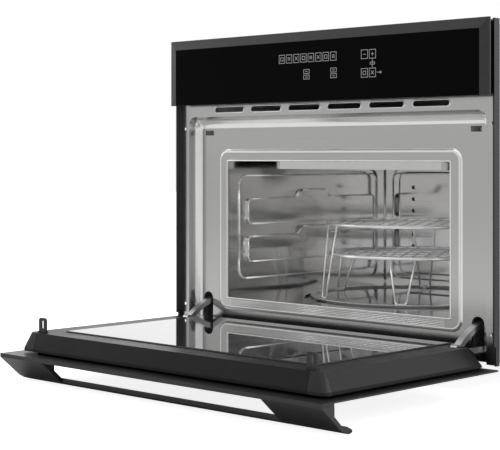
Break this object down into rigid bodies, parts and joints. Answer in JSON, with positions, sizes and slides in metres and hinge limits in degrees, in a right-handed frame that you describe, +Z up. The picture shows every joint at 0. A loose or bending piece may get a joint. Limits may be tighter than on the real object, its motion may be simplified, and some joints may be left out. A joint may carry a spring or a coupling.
{
  "type": "wall oven",
  "caption": "Compact built-in microwave and convection oven with a drop-down glass door, bracket handle, turntable and wire racks, shown with the door open.",
  "frame": {"origin": "middle of the underside of the housing, which rests on the cabinet shelf", "axes": "+X to the right seen from the room, +Y into the oven, +Z up"},
  "size_m": [0.595, 0.8897, 0.4942],
  "materials": {
    "stainless": "satin brushed",
    "cavity_steel": "polished",
    "galvanised": "dull zinc",
    "dark_trim": "dark brushed",
    "black_glass": "black backed glass",
    "window_glass": "tinted",
    "lamp_glass": "clear",
    "black_plastic": "matt",
    "grey_plastic": "satin",
    "white_plastic": "satin",
    "circuit_board": "satin",
    "insulation": "fibre",
    "mica": "flat",
    "iron_core": "varnished",
    "aluminium": "rolled",
    "heater_tube": "oxidised",
    "plate_glass": "clear",
    "chrome_wire": "polished",
    "screw_steel": "zinc plated",
    "spring_steel": "oiled",
    "gasket_rubber": "matt"
  },
  "bodies": {
    "housing": {"front_frame": "stainless", "side_trims": "dark_trim", "outer_wrap": "galvanised", "base_pan": "galvanised", "rear_panel": "galvanised", "panel_screws": "screw_steel", "cavity_liner": "cavity_steel", "insulation_blanket": "insulation", "component_tray": "galvanised", "control_trim": "dark_trim", "control_glass": "black_glass", "control_carrier": "black_plastic", "display_board": "circuit_board", "power_board": "circuit_board", "air_duct": "white_plastic", "blower_housing": "white_plastic", "blower_motor": "iron_core", "magnetron": "aluminium", "waveguide": "galvanised", "waveguide_cover": "mica", "hv_transformer": "iron_core", "hv_capacitor": "aluminium", "mains_filter": "grey_plastic", "terminal_block": "black_plastic", "fan_cover": "cavity_steel", "fan_chamber": "galvanised", "fan_motor": "iron_core", "ring_heater": "heater_tube", "grill_element": "heater_tube", "grill_reflector": "cavity_steel", "cavity_lamp": "lamp_glass", "turntable_motor": "galvanised", "hinge_receivers": "galvanised", "hinge_spring_left": "spring_steel", "hinge_spring_right": "spring_steel", "latch_housings": "white_plastic"},
    "door": {"door_trim": "dark_trim", "door_glass_outer": "black_glass", "door_inner_frame": "grey_plastic", "door_corner_caps": "black_plastic", "door_choke": "galvanised", "door_screen": "galvanised", "door_glass_inner": "window_glass", "door_gasket": "gasket_rubber", "handle_brackets": "dark_trim", "handle_bar": "dark_trim", "latch_hooks": "black_plastic"},
    "blower": {"blower_wheel": "white_plastic"},
    "circulation_fan": {"convection_fan": "aluminium"},
    "turntable": {"turntable_plate": "plate_glass"},
    "ring": {"roller_ring": "white_plastic"},
    "roller_one": {"roller_1": "white_plastic"},
    "roller_two": {"roller_2": "white_plastic"},
    "roller_three": {"roller_3": "white_plastic"},
    "rack_low": {"low_rack": "chrome_wire"},
    "rack_high": {"high_rack": "chrome_wire"},
    "latch_plunger_left": {"plunger_left": "white_plastic"},
    "latch_plunger_right": {"plunger_right": "white_plastic"},
    "arm_left": {"hinge_arm_left": "stainless"},
    "arm_right": {"hinge_arm_right": "stainless"}
  },
  "joints": [
    {"name": "door_hinge", "type": "hinge", "parent": "housing", "child": "door", "pos_m": [0, -0.2779, 0.0054], "axis": [-1, 0, 0], "range_deg": [0, 90], "deforming": ["hinge_spring_left", "hinge_spring_right"]},
    {"name": "hinge_arm_left_pivot", "type": "hinge", "parent": "door", "child": "arm_left", "pos_m": [-0.251, -0.3, 0.021], "axis": [-1, 0, 0], "range_deg": [-90, 0]},
    {"name": "hinge_arm_right_pivot", "type": "hinge", "parent": "door", "child": "arm_right", "pos_m": [0.251, -0.3, 0.021], "axis": [-1, 0, 0], "range_deg": [-90, 0]},
    {"name": "turntable_spin", "type": "hinge", "parent": "housing", "child": "turntable", "pos_m": [0, -0.058, 0.0518], "axis": [0, 0, 1], "continuous": true},
    {"name": "ring_turn", "type": "hinge", "parent": "housing", "child": "ring", "pos_m": [0, -0.058, 0.046], "axis": [0, 0, 1], "continuous": true},
    {"name": "roller_one_spin", "type": "hinge", "parent": "ring", "child": "roller_one", "pos_m": [0.134, -0.058, 0.046], "axis": [1, 0, 0], "continuous": true},
    {"name": "roller_two_spin", "type": "hinge", "parent": "ring", "child": "roller_two", "pos_m": [-0.067, 0.05805, 0.046], "axis": [-0.5, 0.866, 0], "continuous": true},
    {"name": "roller_three_spin", "type": "hinge", "parent": "ring", "child": "roller_three", "pos_m": [-0.067, -0.17405, 0.046], "axis": [-0.5, -0.866, 0], "continuous": true},
    {"name": "low_rack_lift", "type": "slide", "parent": "turntable", "child": "rack_low", "axis": [0, 0, 1], "range_m": [0, 0.03]},
    {"name": "high_rack_lift", "type": "slide", "parent": "turntable", "child": "rack_high", "axis": [0, 0, 1], "range_m": [0, 0.06]},
    {"name": "circulation_fan_spin", "type": "hinge", "parent": "housing", "child": "circulation_fan", "pos_m": [0, 0.15, 0.1512], "axis": [0, 1, 0], "continuous": true},
    {"name": "blower_spin", "type": "hinge", "parent": "housing", "child": "blower", "pos_m": [-0.04, 0.048, 0.3], "axis": [0, 0, 1], "continuous": true},
    {"name": "plunger_left_press", "type": "slide", "parent": "housing", "child": "latch_plunger_left", "axis": [0, 1, 0], "range_m": [0, 0.003], "stiffness_N_per_m": 400},
    {"name": "plunger_right_press", "type": "slide", "parent": "housing", "child": "latch_plunger_right", "axis": [0, 1, 0], "range_m": [0, 0.003], "stiffness_N_per_m": 400}
  ],
  "couplings": [
    {"joint": "hinge_arm_left_pivot", "follows": "door_hinge", "ratio": -1},
    {"joint": "hinge_arm_right_pivot", "follows": "door_hinge", "ratio": -1},
    {"joint": "ring_turn", "follows": "turntable_spin", "ratio": 0.5}
  ]
}
